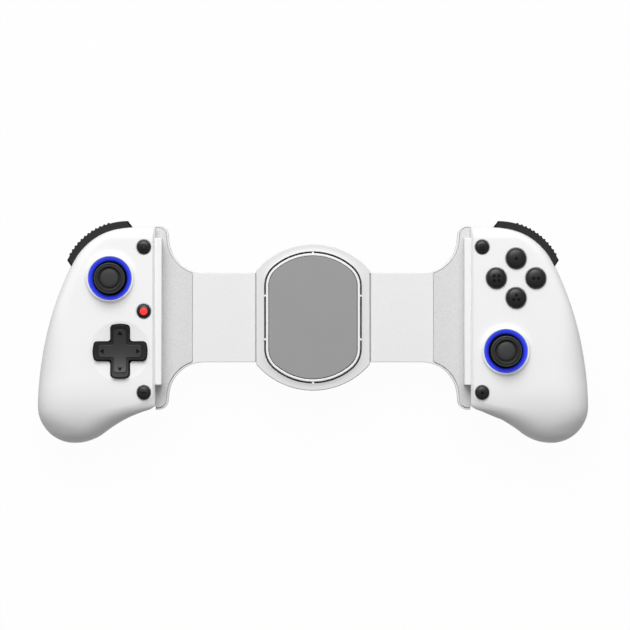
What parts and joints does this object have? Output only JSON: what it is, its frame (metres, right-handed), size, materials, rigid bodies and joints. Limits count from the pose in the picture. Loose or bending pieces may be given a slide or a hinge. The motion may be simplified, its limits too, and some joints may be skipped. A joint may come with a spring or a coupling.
{
  "type": "mobile game controller",
  "caption": "Game controller that stretches over a phone: two handled grips with sticks, buttons and triggers on a sprung bridge.",
  "frame": {"origin": "middle of the phone rest's face, on the bridge's middle line", "axes": "+Z out of the control faces, +Y towards the shoulder buttons, +X along the stretch to the right grip"},
  "size_m": [0.2596, 0.1047, 0.0449],
  "materials": {
    "shell_white": "satin",
    "wing_plastic": "fine grain",
    "clamp_silicone": "smooth",
    "rest_grey": "matte",
    "tray_dark": "matte",
    "shoulder_dark": "satin",
    "stick_rubber": "matte",
    "key_black": "gloss",
    "dpad_dark": "satin",
    "ring_light": "lit",
    "steel": "plain",
    "inner_plastic": "plain",
    "board_green": "solder mask",
    "mat_silicone": "matte",
    "cable_dark": "flat film",
    "cell_foil": "foil"
  },
  "bodies": {
    "bridge": {"bridge_front_cover": "shell_white", "bridge_rear_cover": "shell_white", "pad_tray": "tray_dark", "pad_rim": "shell_white", "rest_pad": "rest_grey", "left_return_spring": "steel", "right_return_spring": "steel", "ribbon_cable": "cable_dark", "bridge_screws": "steel"},
    "centring_gear": {"centring_gear": "inner_plastic"},
    "left_grip": {"left_front_shell": "shell_white", "left_rear_shell": "shell_white", "left_clamp_pad": "clamp_silicone", "left_wing_cover": "wing_plastic", "left_wing_base": "wing_plastic", "left_slider": "wing_plastic", "left_trigger_pin": "steel", "left_stick_housing": "steel", "left_light_ring": "ring_light", "left_circuit_board": "board_green", "left_screws": "steel", "dpad_mat": "mat_silicone", "battery": "cell_foil"},
    "right_grip": {"right_front_shell": "shell_white", "right_rear_shell": "shell_white", "right_clamp_pad": "clamp_silicone", "right_wing_cover": "wing_plastic", "right_wing_base": "wing_plastic", "right_slider": "wing_plastic", "right_trigger_pin": "steel", "right_stick_housing": "steel", "right_light_ring": "ring_light", "right_circuit_board": "board_green", "right_screws": "steel", "face_mat": "mat_silicone", "charging_inlet": "steel"},
    "left_bumper": {"left_bumper": "shoulder_dark"},
    "left_trigger": {"left_trigger": "shoulder_dark"},
    "left_stick_gimbal": {"left_stick_gimbal": "inner_plastic"},
    "left_stick_hub": {"left_stick_hub": "inner_plastic"},
    "left_stick": {"left_stick_lever": "steel", "left_stick_cap": "stick_rubber"},
    "right_bumper": {"right_bumper": "shoulder_dark"},
    "right_trigger": {"right_trigger": "shoulder_dark"},
    "right_stick_gimbal": {"right_stick_gimbal": "inner_plastic"},
    "right_stick_hub": {"right_stick_hub": "inner_plastic"},
    "right_stick": {"right_stick_lever": "steel", "right_stick_cap": "stick_rubber"},
    "dpad_rocker": {"dpad_rocker": "inner_plastic"},
    "dpad": {"dpad_cross": "dpad_dark"},
    "left_top_button": {"left_top_button": "key_black"},
    "left_middle_button": {"left_middle_button": "key_black"},
    "left_bottom_button": {"left_bottom_button": "key_black"},
    "right_top_button": {"right_top_button": "key_black"},
    "right_bottom_button": {"right_bottom_button": "key_black"},
    "face_button_north": {"face_button_north": "key_black"},
    "face_button_east": {"face_button_east": "key_black"},
    "face_button_south": {"face_button_south": "key_black"},
    "face_button_west": {"face_button_west": "key_black"}
  },
  "joints": [
    {"name": "left_extend", "type": "slide", "parent": "bridge", "child": "left_grip", "axis": [-1, 0, 0], "range_m": [0, 0.02], "stiffness_N_per_m": 80, "springref_m": -0.03, "deforming": ["left_return_spring", "ribbon_cable"]},
    {"name": "right_extend", "type": "slide", "parent": "bridge", "child": "right_grip", "axis": [1, 0, 0], "range_m": [0, 0.02], "stiffness_N_per_m": 80, "springref_m": -0.03, "deforming": ["right_return_spring"]},
    {"name": "gear_turn", "type": "hinge", "parent": "bridge", "child": "centring_gear", "pos_m": [0, 0, -0.0074], "axis": [0, 0, 1], "range_deg": [0, 182]},
    {"name": "left_bumper_press", "type": "slide", "parent": "left_grip", "child": "left_bumper", "axis": [0.5446, -0.8387, 0], "range_m": [0, 0.0012], "stiffness_N_per_m": 1000, "springref_m": -0.0006},
    {"name": "left_trigger_pull", "type": "hinge", "parent": "left_grip", "child": "left_trigger", "pos_m": [-0.09844, 0.03176, -0.0036], "axis": [-0.8387, -0.5446, 0], "range_deg": [0, 12], "stiffness_Nm_per_rad": 0.08, "springref_deg": -5.73},
    {"name": "left_stick_sideways", "type": "hinge", "parent": "left_grip", "child": "left_stick_gimbal", "pos_m": [-0.0953, 0.0184, 0.001], "axis": [0, 1, 0], "range_deg": [-16, 16], "stiffness_Nm_per_rad": 0.03},
    {"name": "left_stick_up_down", "type": "hinge", "parent": "left_stick_gimbal", "child": "left_stick_hub", "pos_m": [-0.0953, 0.0184, 0.001], "axis": [1, 0, 0], "range_deg": [-16, 16], "stiffness_Nm_per_rad": 0.03},
    {"name": "left_stick_click", "type": "slide", "parent": "left_stick_hub", "child": "left_stick", "axis": [0, 0, -1], "range_m": [0, 0.0005], "stiffness_N_per_m": 2500, "springref_m": -0.0005},
    {"name": "right_bumper_press", "type": "slide", "parent": "right_grip", "child": "right_bumper", "axis": [-0.5446, -0.8387, 0], "range_m": [0, 0.0012], "stiffness_N_per_m": 1000, "springref_m": -0.0006},
    {"name": "right_trigger_pull", "type": "hinge", "parent": "right_grip", "child": "right_trigger", "pos_m": [0.09844, 0.03176, -0.0036], "axis": [-0.8387, 0.5446, 0], "range_deg": [0, 12], "stiffness_Nm_per_rad": 0.08, "springref_deg": -5.73},
    {"name": "right_stick_sideways", "type": "hinge", "parent": "right_grip", "child": "right_stick_gimbal", "pos_m": [0.0905, -0.0158, 0.001], "axis": [0, 1, 0], "range_deg": [-16, 16], "stiffness_Nm_per_rad": 0.03},
    {"name": "right_stick_up_down", "type": "hinge", "parent": "right_stick_gimbal", "child": "right_stick_hub", "pos_m": [0.0905, -0.0158, 0.001], "axis": [1, 0, 0], "range_deg": [-16, 16], "stiffness_Nm_per_rad": 0.03},
    {"name": "right_stick_click", "type": "slide", "parent": "right_stick_hub", "child": "right_stick", "axis": [0, 0, -1], "range_m": [0, 0.0005], "stiffness_N_per_m": 2500, "springref_m": -0.0005},
    {"name": "dpad_sideways", "type": "hinge", "parent": "left_grip", "child": "dpad_rocker", "pos_m": [-0.0905, -0.0158, 0.0053], "axis": [0, 1, 0], "range_deg": [-4, 4], "stiffness_Nm_per_rad": 0.3},
    {"name": "dpad_up_down", "type": "hinge", "parent": "dpad_rocker", "child": "dpad", "pos_m": [-0.0905, -0.0158, 0.0072], "axis": [1, 0, 0], "range_deg": [-4, 4], "stiffness_Nm_per_rad": 0.3},
    {"name": "left_top_button_press", "type": "slide", "parent": "left_grip", "child": "left_top_button", "axis": [0, 0, -1], "range_m": [0, 0.0012], "stiffness_N_per_m": 400, "springref_m": -0.0008},
    {"name": "left_middle_button_press", "type": "slide", "parent": "left_grip", "child": "left_middle_button", "axis": [0, 0, -1], "range_m": [0, 0.0012], "stiffness_N_per_m": 400, "springref_m": -0.0008},
    {"name": "left_bottom_button_press", "type": "slide", "parent": "left_grip", "child": "left_bottom_button", "axis": [0, 0, -1], "range_m": [0, 0.0012], "stiffness_N_per_m": 400, "springref_m": -0.0008},
    {"name": "right_top_button_press", "type": "slide", "parent": "right_grip", "child": "right_top_button", "axis": [0, 0, -1], "range_m": [0, 0.0012], "stiffness_N_per_m": 400, "springref_m": -0.0008},
    {"name": "right_bottom_button_press", "type": "slide", "parent": "right_grip", "child": "right_bottom_button", "axis": [0, 0, -1], "range_m": [0, 0.0012], "stiffness_N_per_m": 400, "springref_m": -0.0008},
    {"name": "face_button_north_press", "type": "slide", "parent": "right_grip", "child": "face_button_north", "axis": [0, 0, -1], "range_m": [0, 0.0012], "stiffness_N_per_m": 400, "springref_m": -0.0008},
    {"name": "face_button_east_press", "type": "slide", "parent": "right_grip", "child": "face_button_east", "axis": [0, 0, -1], "range_m": [0, 0.0012], "stiffness_N_per_m": 400, "springref_m": -0.0008},
    {"name": "face_button_south_press", "type": "slide", "parent": "right_grip", "child": "face_button_south", "axis": [0, 0, -1], "range_m": [0, 0.0012], "stiffness_N_per_m": 400, "springref_m": -0.0008},
    {"name": "face_button_west_press", "type": "slide", "parent": "right_grip", "child": "face_button_west", "axis": [0, 0, -1], "range_m": [0, 0.0012], "stiffness_N_per_m": 400, "springref_m": -0.0008}
  ],
  "couplings": [
    {"joint": "right_extend", "follows": "left_extend", "ratio": 1},
    {"joint": "gear_turn", "follows": "left_extend", "rad_per_m": 158.73}
  ]
}
